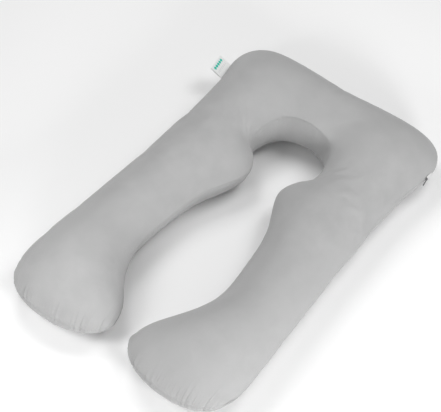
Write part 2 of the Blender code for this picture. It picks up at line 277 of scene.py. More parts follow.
def stuffed(upper, lower):
    # how far each point moves when the cover, at half its fineness, is filled
    coarseTop, coarseLow = upper[::2, ::2], lower[::2, ::2]
    piece, topIndex, lowIndex = sewnMesh("stuffing", coarseTop, coarseLow)
    count = len(piece.data.vertices)
    start = np.empty(count * 3)
    piece.data.vertices.foreach_get("co", start)
    start = start.reshape(-1, 3)
    held = piece.vertex_groups.new(name="held")
    seamPoints = set(topIndex[:, [0, -1]].ravel().tolist()) | set(topIndex[[0, -1]].ravel().tolist())
    onFloor = np.nonzero(start[:, 2] < stuffing["floorHold"])[0].tolist()
    held.add(sorted(seamPoints | set(onFloor)), 1.0, "REPLACE")
    cloth = piece.modifiers.new("filling", "CLOTH")
    rules = cloth.settings
    rules.quality = 4
    rules.mass = stuffing["mass"]
    rules.tension_stiffness = stuffing["stretch"]
    rules.compression_stiffness = stuffing["stretch"]
    rules.shear_stiffness = stuffing["shear"]
    rules.bending_stiffness = stuffing["bending"]
    rules.shrink_min = stuffing["slack"]
    rules.shrink_max = stuffing["slack"]
    rules.use_pressure = True
    rules.uniform_pressure_force = stuffing["pressure"]
    rules.vertex_group_mass = "held"
    rules.effector_weights.gravity = 0
    cloth.collision_settings.use_collision = False
    cloth.point_cache.frame_start = 1
    cloth.point_cache.frame_end = stuffing["frames"]
    scene = bpy.context.scene
    for step in range(1, stuffing["frames"] + 1):
        scene.frame_set(step)
    bpy.context.view_layer.update()
    settled = bpy.data.meshes.new_from_object(
        piece.evaluated_get(bpy.context.evaluated_depsgraph_get()))
    end = np.empty(count * 3)
    settled.vertices.foreach_get("co", end)
    move = end.reshape(-1, 3) - start
    length = np.linalg.norm(move, axis=1)
    most = stuffing["mostMove"]
    print("filling moved the cloth by up to %.1f mm, mean %.1f mm"
          % (length.max() * 1000, length.mean() * 1000))
    move *= stuffing["share"] * (most * np.tanh(length / most) / np.maximum(length, 1e-9))[:, None]
    bpy.data.objects.remove(piece)
    bpy.data.meshes.remove(settled)
    scene.frame_set(1)
    moves = []
    for index in (topIndex, lowIndex):
        moves.append(doubled(doubled(move[index], 0), 1))
    return moves


def unit(vectors):
    return vectors / np.maximum(np.linalg.norm(vectors, axis=-1, keepdims=True), 1e-12)


def outward(panel, up):
    # outward direction at each point of a panel; up is 1 for the upper one, -1 for the lower
    rows = np.gradient(panel, axis=0)
    cols = np.gradient(panel, axis=1)
    facing = unit(np.cross(rows, cols))
    middle = facing[len(facing) // 2, facing.shape[1] // 2, 2]
    return facing * (up if middle > 0 else -up)


def runLength(panel, axis):
    # distance along the cloth from the first ring or from the outer seam
    steps = np.linalg.norm(np.diff(panel, axis=axis), axis=-1)
    start = np.zeros_like(np.take(steps, [0], axis=axis))
    return np.concatenate([start, np.cumsum(steps, axis=axis)], axis=axis)


def unevenWave(at, spacing, seed):
    # rounded ridges with sharp valleys between them, of uneven width and height, around zero
    rng = np.random.default_rng(seed)
    knots = int(np.ceil(at.max() / spacing)) + 3
    widths = rng.uniform(0.55, 1.5, knots)
    phase = np.interp(at, np.arange(knots) * spacing, np.cumsum(widths))
    heights = rng.uniform(0.35, 1.0, knots + int(widths.sum()) + 2)
    return (np.abs(np.sin(math.pi * phase)) ** 0.8 - 0.55) * heights[phase.astype(int)]


def slowNoise(at, spacing, seed, low=0.0, high=1.0):
    rng = np.random.default_rng(seed)
    knots = rng.uniform(low, high, int(np.ceil(at.max() / spacing)) + 3)
    place = at / spacing
    first = place.astype(int)
    f = place - first
    f = f * f * (3 - 2 * f)
    return knots[first] * (1 - f) + knots[first + 1] * f


# sewing: how the seam draws the cloth in and gathers it, in metres
sewing = {
    "seamDip": 0.0034,
    "seamDipReach": 0.0048,
    "toeDip": 0.0050,
    "toeDipReach": 0.0065,
    "zipDip": 0.0030,        # hollow of the open seam at the end of the zip
    "zipDipReach": 0.014,
    "zipDipLength": 0.016,
    "zipDipFrom": 0.016,     # its middle, measured from the middle of the slider
    "cornerFlat": 0.026,     # the sewing lies flat this near to the corners of the toes
    "levelReach": 0.006,     # this near to a seam the cloth moves level, straight out or in
    "toePucker": 0.0021,
    "toeSpacing": 0.013,
    "toeReach": (0.018, 0.055),
    "sidePucker": 0.0006,
    "sideSpacing": 0.016,
    "sideReach": (0.010, 0.030),
    "wallPucker": 0.0006,
    "wallSpacing": 0.013,
    "wallReach": (0.06, 0.11),
    "wallFrom": 0.098,       # height of the inner seam over which the hole's wall is gathered
    "wallFade": 0.030,
}


def seamRelief(panel, seed, wall):
    # height of the gathers over each point of a panel, and the depth of the hollow at its seam
    alongSeam = runLength(panel, 0)
    fromOuter = runLength(panel, 1)
    fromInner = fromOuter[:, -1:] - fromOuter
    fromToe = np.minimum(alongSeam, alongSeam[-1:] - alongSeam)
    relief = np.zeros(panel.shape[:2])

    def gathers(run, depth, size, spacing, reach, seed):
        wave = unevenWave(run, spacing, seed)
        length = slowNoise(run, spacing * 1.7, seed + 1, *reach)
        return size * wave * np.exp(-(depth / length) ** 1.5)

    outerRun = alongSeam[:, :1]
    innerRun = alongSeam[:, -1:]
    side, reach = sewing["sidePucker"], sewing["sideReach"]
    relief += gathers(outerRun, fromOuter, side, sewing["sideSpacing"], reach, seed)
    relief += gathers(innerRun, fromInner, side, sewing["sideSpacing"], reach, seed + 10)
    halfRings = len(panel) // 2
    for toe, rows in ((0, slice(0, halfRings)), (-1, slice(halfRings, None))):
        toeRun = np.broadcast_to(fromOuter[toe], panel.shape[:2])[rows]
        relief[rows] += gathers(toeRun, fromToe[rows], sewing["toePucker"],
                                sewing["toeSpacing"], sewing["toeReach"], seed + 20 - toe)
    if wall is not None:
        relief += wall * gathers(innerRun, fromInner, sewing["wallPucker"],
                                 sewing["wallSpacing"], sewing["wallReach"], seed + 30)
    nearest = np.minimum(fromOuter, fromInner)
    dip = np.maximum(sewing["seamDip"] * np.exp(-(nearest / sewing["seamDipReach"]) ** 2),
                     sewing["toeDip"] * np.exp(-(fromToe / sewing["toeDipReach"]) ** 2))
    low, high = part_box("zip_slider")
    fromZip = panel[..., 1] - (low[1] + high[1]) / 2 - sewing["zipDipFrom"]
    dip += (panel[..., 0] > 0) * sewing["zipDip"] * np.exp(
        -(fromZip / sewing["zipDipLength"]) ** 2 - (fromOuter / sewing["zipDipReach"]) ** 2)
    for ring, point in ((0, 0), (0, -1), (-1, 0), (-1, -1)):
        away = np.linalg.norm(panel - panel[ring, point], axis=-1) / sewing["cornerFlat"]
        relief *= 1 - np.exp(-away**4)
        dip *= 1 - np.exp(-away**4)
    # run along the nearest side seam and distance from it, then the same for the toe
    byOuter = fromOuter < fromInner
    toeRun = np.where(np.arange(len(panel))[:, None] < halfRings, fromOuter[:1], fromOuter[-1:])
    places = {
        "sideSeam": (np.where(byOuter, outerRun, innerRun), np.minimum(fromOuter, fromInner),
                     np.zeros_like(relief) if wall is None else wall * ~byOuter),
        "toeSeam": (toeRun, fromToe, np.zeros_like(relief)),
    }
    return relief, dip, {name: np.stack(parts, 2) for name, parts in places.items()}


def levelOut(panel):
    # level direction out of the cover at the seam nearest to each point, and distance from it
    def across(line, inside):
        step = np.gradient(line, axis=0)
        out = unit(np.stack([-step[:, 1], step[:, 0], np.zeros(len(step))], 1))
        return out * np.sign(((line - inside) * out).sum())

    fromOuter, alongSeam = runLength(panel, 1), runLength(panel, 0)
    fromInner = fromOuter[:, -1:] - fromOuter
    fromSide = np.minimum(fromOuter, fromInner)
    fromToe = np.minimum(alongSeam, alongSeam[-1:] - alongSeam)
    deep = panel.shape[1] // 8
    half = len(panel) // 2
    out = np.where((fromOuter < fromInner)[..., None],
                   across(panel[:, 0], panel[:, deep])[:, None],
                   across(panel[:, -1], panel[:, -1 - deep])[:, None])
    toes = np.empty_like(panel)
    toes[:half] = across(panel[0], panel[2 * deep])
    toes[half:] = across(panel[-1], panel[-1 - 2 * deep])
    out = np.where((fromToe < fromSide)[..., None], toes, out)
    return out, np.minimum(fromSide, fromToe)


def cutPlan(panel):
    # the panel laid flat again: each ring unrolled to both sides of the crown's line
    across = runLength(panel, 1)
    middle = panel.shape[1] // 2
    direction = unit(panel[:, 0, :2] - panel[:, -1, :2])
    reach = across[:, middle:middle + 1] - across
    return panel[:, middle:middle + 1, :2] + direction[:, None] * reach[..., None]


def makePillow():
    upper, lower = coverPanels()
    print("panels cut:", upper.shape[0], "rings of", upper.shape[1], "points")
    seams = {"outer": upper[:, 0].copy(), "inner": upper[:, -1].copy(),
             "leftToe": upper[0].copy(), "rightToe": upper[-1].copy()}
    upperMove, lowerMove = stuffed(upper, lower)
    flat = cutPlan(upper), cutPlan(lower)
    innerSeam = upper[:, -1:, 2]
    wall = np.clip((innerSeam - sewing["wallFrom"]) / sewing["wallFade"], 0, 1)
    upperRelief, upperDip, upperPlaces = seamRelief(upper, 3, None)
    lowerRelief, lowerDip, lowerPlaces = seamRelief(lower, 53, wall)
    upperOut, lowerOut = outward(upper + upperMove, 1), outward(lower + lowerMove, -1)
    level, fromSeam = levelOut(upper)
    near = np.exp(-(fromSeam / sewing["levelReach"]) ** 2)[..., None]
    edgeRelief = np.minimum(upperRelief, lowerRelief)
    # both panels are drawn in the same way at a seam, so that neither passes through the other
    dip = np.minimum(upperDip, lowerDip)[..., None]
    edge = np.zeros(upper.shape[:2], bool)
    edge[[0, -1]] = True
    edge[:, [0, -1]] = True
    for panel, move, out, relief in ((upper, upperMove, upperOut, upperRelief),
                                     (lower, lowerMove, lowerOut, lowerRelief)):
        relief = np.where(edge, edgeRelief, relief)
        direction = unit(out * (1 - near) + level * near)
        onFloor = panel[..., 2:3] < 1e-4
        panel += move + direction * relief[..., None] - level * dip
        panel[..., 2:3] = np.where(onFloor, 0, np.maximum(panel[..., 2:3], 0))
    piece, topIndex, lowIndex = sewnMesh("stuffed_cover", upper, lower, flat)
    for name in upperPlaces:
        spots = np.zeros((len(piece.data.vertices), 3), np.float32)
        spots[topIndex.ravel()] = upperPlaces[name].reshape(-1, 3)
        spots[lowIndex.ravel()] = lowerPlaces[name].reshape(-1, 3)
        piece.data.attributes.new(name, "FLOAT_VECTOR", "POINT").data.foreach_set(
            "vector", spots.ravel())
    seams["sewn"] = [(upper[:, 0], level[:, 0]), (upper[:, -1], level[:, -1]),
                     (upper[0], level[0]), (upper[-1], level[-1])]
    return piece, seams


def newMaterial(name):
    look = bpy.data.materials.new(name)
    look.use_nodes = True
    return look, look.node_tree, look.node_tree.nodes["Principled BSDF"]


def addNode(tree, kind, inputs=(), **settings):
    # a node with its settings, and its inputs set to values or linked to other nodes' outputs
    made = tree.nodes.new(kind)
    for setting, value in settings.items():
        setattr(made, setting, value)
    for socket, value in dict(inputs).items():
        if isinstance(value, bpy.types.NodeSocket):
            tree.links.new(value, made.inputs[socket])
        else:
            made.inputs[socket].default_value = value
    return made


def mathNode(tree, operation, *values):
    return addNode(tree, "ShaderNodeMath", enumerate(values), operation=operation).outputs[0]


def bumpNode(tree, height, distance, strength=1.0, under=None):
    inputs = {"Height": height, "Distance": distance, "Strength": strength}
    if under is not None:
        inputs["Normal"] = under
    return addNode(tree, "ShaderNodeBump", inputs).outputs["Normal"]


def noiseNode(tree, vector, scale, detail=3.0, roughness=0.5):
    return addNode(tree, "ShaderNodeTexNoise", {"Vector": vector, "Scale": scale,
                   "Detail": detail, "Roughness": roughness}).outputs["Fac"]


def blendColour(tree, factor, first, second):
    mix = addNode(tree, "ShaderNodeMix", data_type="RGBA")
    for socket, value in ((0, factor), (6, first), (7, second)):
        if isinstance(value, bpy.types.NodeSocket):
            tree.links.new(value, mix.inputs[socket])
        else:
            mix.inputs[socket].default_value = value
    return mix.outputs[2]


def noiseAlong(tree, value, scale, detail=1.0):
    node = addNode(tree, "ShaderNodeTexNoise", noise_dimensions="1D")
    tree.links.new(value, node.inputs["W"])
    node.inputs["Scale"].default_value = scale
    node.inputs["Detail"].default_value = detail
    return node.outputs["Fac"]


def spread(tree, value, low, high):
    return addNode(tree, "ShaderNodeMapRange", {"Value": value, "From Min": low, "From Max": high}
                   ).outputs["Result"]


def gatherHeight(tree, run, away, spacing, reach):
    # rounded ridges square to a seam, of uneven width, length and height, fading from the seam
    wander = mathNode(tree, "MULTIPLY", noiseAlong(tree, run, 0.45 / spacing), 3.0)
    phase = mathNode(tree, "ADD", mathNode(tree, "DIVIDE", run, spacing), wander)
    ridge = mathNode(tree, "ABSOLUTE", mathNode(tree, "SINE",
                     mathNode(tree, "MULTIPLY", phase, math.pi)))
    size = spread(tree, noiseAlong(tree, run, 0.8 / spacing), 0.30, 0.70)
    length = mathNode(tree, "MULTIPLY", mathNode(tree, "ADD", size, 0.35), reach)
    faded = mathNode(tree, "POWER", mathNode(tree, "DIVIDE", away, length), 1.5)
    faded = mathNode(tree, "EXPONENT", mathNode(tree, "MULTIPLY", faded, -1.0))
    return mathNode(tree, "MULTIPLY", mathNode(tree, "MULTIPLY", ridge, size), faded)


jersey = {
    "colour": (0.400, 0.400, 0.400, 1),
    "shade": (0.365, 0.365, 0.366, 1),
    "light": (0.430, 0.430, 0.430, 1),
    "wale": 0.0012,          # width of one column of stitches
    "course": 0.0009,        # height of one row
    "stitchDepth": 0.00012,
    "napDepth": 0.00025,
    "sheen": 0.20,
    "toeGather": 0.0022,     # height of the finest gathers at the toes, the sides and the wall
    "toeGatherSpacing": 0.0080,
    "toeGatherReach": 0.042,
    "sideGather": 0.0005,
    "sideGatherSpacing": 0.007,
    "sideGatherReach": 0.016,
    "wallGather": 0.0007,
    "wallGatherSpacing": 0.006,
    "wallGatherReach": 0.110,
}


def coverMaterial():
    # fine weft knit on the panels' own cut, under a short brushed nap with cloudy patches
    look, tree, shader = newMaterial("grey jersey")
    cut = addNode(tree, "ShaderNodeUVMap", uv_map="cut").outputs["UV"]
    place = addNode(tree, "ShaderNodeTexCoord").outputs["Object"]
    split = addNode(tree, "ShaderNodeSeparateXYZ", {"Vector": cut}).outputs
    column = mathNode(tree, "FRACT", mathNode(tree, "DIVIDE", split["X"], jersey["wale"]))
    aside = mathNode(tree, "ABSOLUTE", mathNode(tree, "SUBTRACT", column, 0.5))
    row = mathNode(tree, "DIVIDE", split["Y"], jersey["course"])
    row = mathNode(tree, "ADD", row, aside)
    leg = mathNode(tree, "SINE", mathNode(tree, "MULTIPLY", row, 2 * math.pi))
    gap = mathNode(tree, "COSINE", mathNode(tree, "MULTIPLY", aside, 4 * math.pi))
    stitch = mathNode(tree, "SUBTRACT", mathNode(tree, "MULTIPLY", leg, 0.5), gap)

    cloud = noiseNode(tree, place, 14.0, 4.0, 0.55)
    patch = noiseNode(tree, place, 4.0, 2.0)
    fibre = noiseNode(tree, place, 900.0, 2.0)
    tone = blendColour(tree, spread(tree, cloud, 0.30, 0.72), jersey["shade"], jersey["light"])
    tone = blendColour(tree, spread(tree, patch, 0.30, 0.80), tone, jersey["colour"])
    fleck = blendColour(tree, spread(tree, fibre, 0.35, 0.65), jersey["shade"], jersey["light"])
    tone = blendColour(tree, 0.25, tone, fleck)
    tree.links.new(tone, shader.inputs["Base Color"])
    normal = bumpNode(tree, noiseNode(tree, place, 60.0, 3.0), 0.0012, 0.35)
    side = addNode(tree, "ShaderNodeAttribute", attribute_name="sideSeam").outputs["Vector"]
    side = addNode(tree, "ShaderNodeSeparateXYZ", {"Vector": side}).outputs
    toe = addNode(tree, "ShaderNodeAttribute", attribute_name="toeSeam").outputs["Vector"]
    toe = addNode(tree, "ShaderNodeSeparateXYZ", {"Vector": toe}).outputs
    for seam, gather in ((toe, "toeGather"), (side, "sideGather"), (side, "wallGather")):
        height = gatherHeight(tree, seam["X"], seam["Y"], jersey[gather + "Spacing"],
                              jersey[gather + "Reach"])
        if gather == "wallGather":
            height = mathNode(tree, "MULTIPLY", height, side["Z"])
        normal = bumpNode(tree, height, jersey[gather], 1.0, normal)
    normal = bumpNode(tree, fibre, jersey["napDepth"], 0.5, normal)
    normal = bumpNode(tree, stitch, jersey["stitchDepth"], 0.5, normal)
    tree.links.new(normal, shader.inputs["Normal"])
    rough = addNode(tree, "ShaderNodeMapRange", {"Value": cloud, "To Min": 0.82, "To Max": 0.95})
    tree.links.new(rough.outputs["Result"], shader.inputs["Roughness"])
    shader.inputs["Sheen Weight"].default_value = jersey["sheen"]
    shader.inputs["Sheen Roughness"].default_value = 0.45
    shader.inputs["Specular IOR Level"].default_value = 0.25
    return look


coverPiece, seams = makePillow()
coverPiece.data.materials.append(coverMaterial())
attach(coverPiece, "root")
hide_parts("pillow")
print("pillow stuffed:", len(coverPiece.data.polygons) * 2, "triangles")


# thread that closes the seams: a short bar over the seam at every stitch
thread = {
    "pitch": 0.0036,
    "across": 0.0028,        # length of a bar across the seam
    "along": 0.0007,         # and its thickness
    "lean": 0.22,            # most that a bar leans, in radians
    "seed": 11,
    "colour": (0.36, 0.36, 0.36, 1),
    "worn": (0.46, 0.46, 0.46, 1),
}


def lineMesh(name, lines):
    # lines of points as edges, with the way out of the cover kept on every point
    spots, ways, edges = [], [], []
    for places, outs in lines:
        edges.extend((n, n + 1) for n in range(len(spots), len(spots) + len(places) - 1))
        spots.extend(places.tolist())
        ways.extend(outs.tolist())
    mesh = bpy.data.meshes.new(name)
    mesh.from_pydata(spots, edges, [])
    mesh.attributes.new("out", "FLOAT_VECTOR", "POINT").data.foreach_set(
        "vector", np.array(ways, np.float32).ravel())
    piece = bpy.data.objects.new(name, mesh)
    bpy.context.scene.collection.objects.link(piece)
    return piece


def rowTree():
    # node tree that sets rounded bars square to a line, at an even pitch
    tree = bpy.data.node_groups.new("row of bars", "GeometryNodeTree")
    named = {}
    tree.interface.new_socket("Line", in_out="INPUT", socket_type="NodeSocketGeometry")
    for title, kind in (("Pitch", "Float"), ("Across", "Float"), ("Along", "Float"),
                        ("Lean", "Float"), ("Seed", "Int"), ("Look", "Material")):
        socket = tree.interface.new_socket(title, in_out="INPUT", socket_type="NodeSocket" + kind)
        named[title] = socket.identifier
    tree.interface.new_socket("Row", in_out="OUTPUT", socket_type="NodeSocketGeometry")
    given = tree.nodes.new("NodeGroupInput").outputs
    curve = addNode(tree, "GeometryNodeMeshToCurve", {"Mesh": given["Line"]}).outputs["Curve"]
    line = addNode(tree, "GeometryNodeResampleCurve", {"Curve": curve, "Length": given["Pitch"]},
                   mode="LENGTH").outputs["Curve"]
    out = addNode(tree, "GeometryNodeInputNamedAttribute", {"Name": "out"},
                  data_type="FLOAT_VECTOR").outputs["Attribute"]
    tangent = addNode(tree, "GeometryNodeInputTangent").outputs["Tangent"]
    across = addNode(tree, "ShaderNodeVectorMath", {0: tangent, 1: out},
                     operation="CROSS_PRODUCT").outputs["Vector"]
    turn = addNode(tree, "FunctionNodeAlignRotationToVector", {"Vector": tangent},
                   axis="X").outputs["Rotation"]
    turn = addNode(tree, "FunctionNodeAlignRotationToVector", {"Rotation": turn, "Vector": across},
                   axis="Z", pivot_axis="X").outputs["Rotation"]
    back = addNode(tree, "ShaderNodeMath", {0: given["Lean"], 1: -1.0}, operation="MULTIPLY")
    lean = addNode(tree, "FunctionNodeRandomValue", {2: back.outputs[0], 3: given["Lean"],
                   "Seed": given["Seed"]}, data_type="FLOAT").outputs[1]
    tip = addNode(tree, "FunctionNodeAxisAngleToRotation", {"Axis": (0, 1, 0), "Angle": lean})
    turn = addNode(tree, "FunctionNodeRotateRotation", {"Rotation": turn,
                   "Rotate By": tip.outputs["Rotation"]}, rotation_space="LOCAL").outputs["Rotation"]
    bar = addNode(tree, "GeometryNodeMeshIcoSphere", {"Radius": 0.5, "Subdivisions": 1})
    smooth = addNode(tree, "GeometryNodeSetShadeSmooth", {"Geometry": bar.outputs["Mesh"]})
    size = addNode(tree, "ShaderNodeCombineXYZ", {"X": given["Along"], "Y": given["Along"],
                   "Z": given["Across"]}).outputs["Vector"]
    bars = addNode(tree, "GeometryNodeInstanceOnPoints", {"Points": line, "Rotation": turn,
                   "Instance": smooth.outputs["Geometry"], "Scale": size}).outputs["Instances"]
    real = addNode(tree, "GeometryNodeRealizeInstances", {"Geometry": bars}).outputs["Geometry"]
    done = addNode(tree, "GeometryNodeSetMaterial", {"Geometry": real, "Material": given["Look"]})
    tree.links.new(done.outputs["Geometry"], tree.nodes.new("NodeGroupOutput").inputs["Row"])
    return tree, named


barTree, barInputs = rowTree()


def rowOfBars(name, lines, sizes, look):
    # the finished row as a plain mesh
    piece = lineMesh(name, lines)
    row = piece.modifiers.new("row", "NODES")
    row.node_group = barTree
    for title in ("pitch", "across", "along", "lean", "seed"):
        row[barInputs[title.capitalize()]] = sizes[title]
    row[barInputs["Look"]] = look
    bpy.context.view_layer.update()
    finished = bpy.data.meshes.new_from_object(
        piece.evaluated_get(bpy.context.evaluated_depsgraph_get()))
    piece.modifiers.remove(row)
    old = piece.data
    piece.data = finished
    finished.name = name
    bpy.data.meshes.remove(old)
    return piece


def threadMaterial():
    # twisted filament, a little lighter where it is rubbed
    look, tree, shader = newMaterial("seam thread")
    place = addNode(tree, "ShaderNodeTexCoord").outputs["Object"]
    twist = noiseNode(tree, place, 1800.0, 2.0)
    tone = blendColour(tree, spread(tree, twist, 0.3, 0.7), thread["colour"], thread["worn"])
    tree.links.new(tone, shader.inputs["Base Color"])
    tree.links.new(bumpNode(tree, twist, 0.0001, 0.5), shader.inputs["Normal"])
    shader.inputs["Roughness"].default_value = 0.7
    return look


stitchPiece = rowOfBars("seam_stitches", seams["sewn"], thread, threadMaterial())
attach(stitchPiece, "root")
print("seams closed with", len(stitchPiece.data.polygons) // 20, "stitches")


def seamSpot(y, leg):
    # point and outward direction of the outer seam; leg is 1 for the right one, -1 for the left
    line = seams["outer"]
    own = np.nonzero(line[:, 0] * leg > 0.3)[0]
    spot = own[np.argmin(np.abs(line[own, 1] - y))]
    step = line[spot + 1] - line[spot - 1]
    out = Vector((-step[1], step[0], 0)).normalized()
    if out.x * leg < 0:
        out = -out
    return Vector(line[spot]), out


def standing(origin, out, tilt=0.0):
    # frame with X out of the cover, tilted up by `tilt`, and Y along the seam
    up = Vector((0, 0, 1))
    xAxis = out * math.cos(tilt) + up * math.sin(tilt)
    zAxis = up * math.cos(tilt) - out * math.sin(tilt)
    turn = Matrix((xAxis, zAxis.cross(xAxis), zAxis)).transposed().to_4x4()
    return Matrix.Translation(origin) @ turn


label = {
    "width": 0.070,
    "reach": 0.052,          # from the seam to the fold
    "caught": 0.003,         # how much of its open end is inside the seam
    "tilt": math.radians(32),
    "leaf": 0.0005,
    "gap": 0.0012,
    "curl": 0.004,
    "puff": 0.0009,          # how far its two leaves bulge apart
    "waveTurns": 5.5,
    "wavePhase": 0.8,
    "cupping": 0.0022,       # how far its two edges bend down
    "y": 0.517 - pillow["middleY"],
    "lengthSteps": 60,
    "widthSteps": 36,
    "wave": 0.0007,
    "bandFrom": 0.007,       # row of woven lozenges, measured from the fold
    "bandWidth": 0.013,
    "bandMargin": 0.008,
    "lozenges": 5,
    "plumpness": 1.15,       # over 1 makes the lozenges run into each other
    "lineFrom": 0.030,       # two thin grey lines nearer to the seam
    "lineWidth": 0.0008,
    "linePitch": 0.004,
    "white": (0.90, 0.91, 0.90, 1),
    "shadow": (0.78, 0.79, 0.79, 1),
    "line": (0.55, 0.55, 0.56, 1),
    "band": (0.020, 0.560, 0.430, 1),
}


def makeLabel():
    # tape that goes out from the seam, folds over and comes back on itself
    rise = (label["gap"] + label["leaf"]) / 2
    straight = label["reach"] + label["caught"] - rise
    total = 2 * straight + math.pi * rise
    seam, out = seamSpot(label["y"], -1)
    frame = standing(seam - out * label["caught"], out, label["tilt"])
    rows = []
    flat = []
    for u in np.linspace(0, total, label["lengthSteps"] * 2 + 1):
        if u < straight:
            x, z = u, rise
        elif u > total - straight:
            x, z = total - u, -rise
        else:
            a = (u - straight) / rise
            x, z = straight + rise * math.sin(a), rise * math.cos(a)
        share = x / label["reach"]
        lift = label["curl"] * share**2
        puff = label["puff"] * math.sin(math.pi * min(share, 1)) * (1 if z > 0 else -1)
        rows.append([])
        flat.append([])
        for v in np.linspace(-0.5, 0.5, label["widthSteps"] + 1):
            wave = label["wave"] * share * math.sin(label["waveTurns"] * v + label["wavePhase"])
            wave -= label["cupping"] * share * v * v
            rows[-1].append(frame @ Vector((x, v * label["width"], z + lift + wave + puff)))
            flat[-1].append((u, (v + 0.5) * label["width"]))
    bm = bmesh.new()
    layer = bm.loops.layers.uv.new("tape")
    spots = [[bm.verts.new(place) for place in row] for row in rows]
    for i in range(len(rows) - 1):
        for k in range(label["widthSteps"]):
            corners = ((i, k), (i + 1, k), (i + 1, k + 1), (i, k + 1))
            face = bm.faces.new([spots[a][b] for a, b in corners])
            face.smooth = True
            for loop, (a, b) in zip(face.loops, corners):
                loop[layer].uv = flat[a][b]
    mesh = bpy.data.meshes.new("woven_label")
    bm.to_mesh(mesh)
    bm.free()
    piece = bpy.data.objects.new("woven_label", mesh)
    bpy.context.scene.collection.objects.link(piece)
    leaf = piece.modifiers.new("leaf", "SOLIDIFY")
    leaf.thickness = label["leaf"]
    leaf.offset = 0
    mesh.materials.append(labelMaterial(total))
    return piece, total


def labelMaterial(total):
    # satin tape with a fine weave, a row of plain lozenges near the fold and two thin lines
    look, tree, shader = newMaterial("white satin tape")
    cut = addNode(tree, "ShaderNodeUVMap", uv_map="tape").outputs["UV"]
    split = addNode(tree, "ShaderNodeSeparateXYZ", {"Vector": cut}).outputs
    weft = mathNode(tree, "SINE", mathNode(tree, "MULTIPLY", split["X"], 2 * math.pi / 0.0007))
    warp = mathNode(tree, "SINE", mathNode(tree, "MULTIPLY", split["Y"], 2 * math.pi / 0.0005))
    weave = mathNode(tree, "MULTIPLY", weft, warp)

    def between(value, low, high):
        above = mathNode(tree, "GREATER_THAN", value, low)
        return mathNode(tree, "MULTIPLY", above, mathNode(tree, "LESS_THAN", value, high))

    far = total / 2 - label["bandFrom"]
    margin = label["bandMargin"]
    inside = between(split["Y"], margin, label["width"] - margin)
    step = (label["width"] - 2 * margin) / label["lozenges"]
    aside = mathNode(tree, "FRACT", mathNode(tree, "DIVIDE",
                     mathNode(tree, "SUBTRACT", split["Y"], margin), step))
    aside = mathNode(tree, "ABSOLUTE", mathNode(tree, "SUBTRACT", aside, 0.5))
    down = mathNode(tree, "DIVIDE", mathNode(tree, "SUBTRACT", split["X"],
                    far - label["bandWidth"] / 2), label["bandWidth"])
    down = mathNode(tree, "ABSOLUTE", down)
    lozenge = mathNode(tree, "LESS_THAN", mathNode(tree, "ADD", aside, down),
                       label["plumpness"] / 2)
    band = between(split["X"], far - label["bandWidth"], far)
    band = mathNode(tree, "MULTIPLY", mathNode(tree, "MULTIPLY", band, inside), lozenge)
    first = total / 2 - label["lineFrom"]
    lines = mathNode(tree, "ADD", between(split["X"], first, first + label["lineWidth"]),
                     between(split["X"], first - label["linePitch"],
                             first - label["linePitch"] + label["lineWidth"]))
    lines = mathNode(tree, "MULTIPLY", lines, inside)
    tone = blendColour(tree, spread(tree, weave, -1.0, 1.0), label["shadow"], label["white"])
    tone = blendColour(tree, 0.65, tone, label["white"])
    tone = blendColour(tree, lines, tone, label["line"])
    tone = blendColour(tree, band, tone, label["band"])
    tree.links.new(tone, shader.inputs["Base Color"])
    tree.links.new(bumpNode(tree, weave, 0.00008, 0.6), shader.inputs["Normal"])
    shader.inputs["Roughness"].default_value = 0.45
    shader.inputs["Sheen Weight"].default_value = 0.1
    return look


labelPiece, labelCut = makeLabel()
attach(labelPiece, "root")
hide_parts("label")
print("label caught in the seam: cut %.0f x %.0f mm" % (label["width"] * 1000, labelCut * 1000))


# finish, the metal under it where it is rubbed, metallic share, least and most roughness
castings = {
    "zip_slider": ((0.20, 0.20, 0.21, 1), (0.45, 0.45, 0.46, 1), 0.9, (0.16, 0.34)),
    "zip_puller": ((0.035, 0.035, 0.038, 1), (0.16, 0.16, 0.17, 1), 0.55, (0.28, 0.50)),
}


def castMaterial(name, finish, worn, metallic, roughness):
    # cast metal under a dark finish, rubbed a little thin
    look, tree, shader = newMaterial(name)
    place = addNode(tree, "ShaderNodeTexCoord").outputs["Object"]
    rub = noiseNode(tree, place, 420.0, 4.0, 0.6)
    tone = blendColour(tree, spread(tree, rub, 0.55, 0.75), finish, worn)
    tree.links.new(tone, shader.inputs["Base Color"])
    rough = addNode(tree, "ShaderNodeMapRange",
                    {"Value": rub, "To Min": roughness[0], "To Max": roughness[1]})
    tree.links.new(rough.outputs["Result"], shader.inputs["Roughness"])
    tree.links.new(bumpNode(tree, rub, 0.00008, 0.4), shader.inputs["Normal"])
    shader.inputs["Metallic"].default_value = metallic
    return look


for nodeName, casting in castings.items():
    frame["nodes"][nodeName].material_slots[0].material = castMaterial(
        "finish of the " + nodeName.replace("_", " "), *casting)
print("slider and puller finished")


# end of the zip that shows in the seam, past the slider: a lens of tape with its coil
zipEnd = {
    "from": 0.003,           # start, measured from the middle of the slider
    "length": 0.030,
    "height": 0.0105,
    "set": -0.0026,          # its face against the line of the closed seam
    "crown": 0.0012,
    "thickness": 0.0010,
    "leastHalf": 0.0004,     # half height left at its point, and cloth left beside the coil
    "rib": 0.0009,
    "pick": 0.0006,
    "lengthSteps": 24,
    "heightSteps": 8,
    "tape": (0.84, 0.84, 0.83, 1),
    "tapeShade": (0.66, 0.66, 0.66, 1),
    "pitch": 0.0015,
    "across": 0.0036,
    "along": 0.0012,
    "lean": 0.05,
    "seed": 5,
    "coil": (0.72, 0.72, 0.71, 1),
}


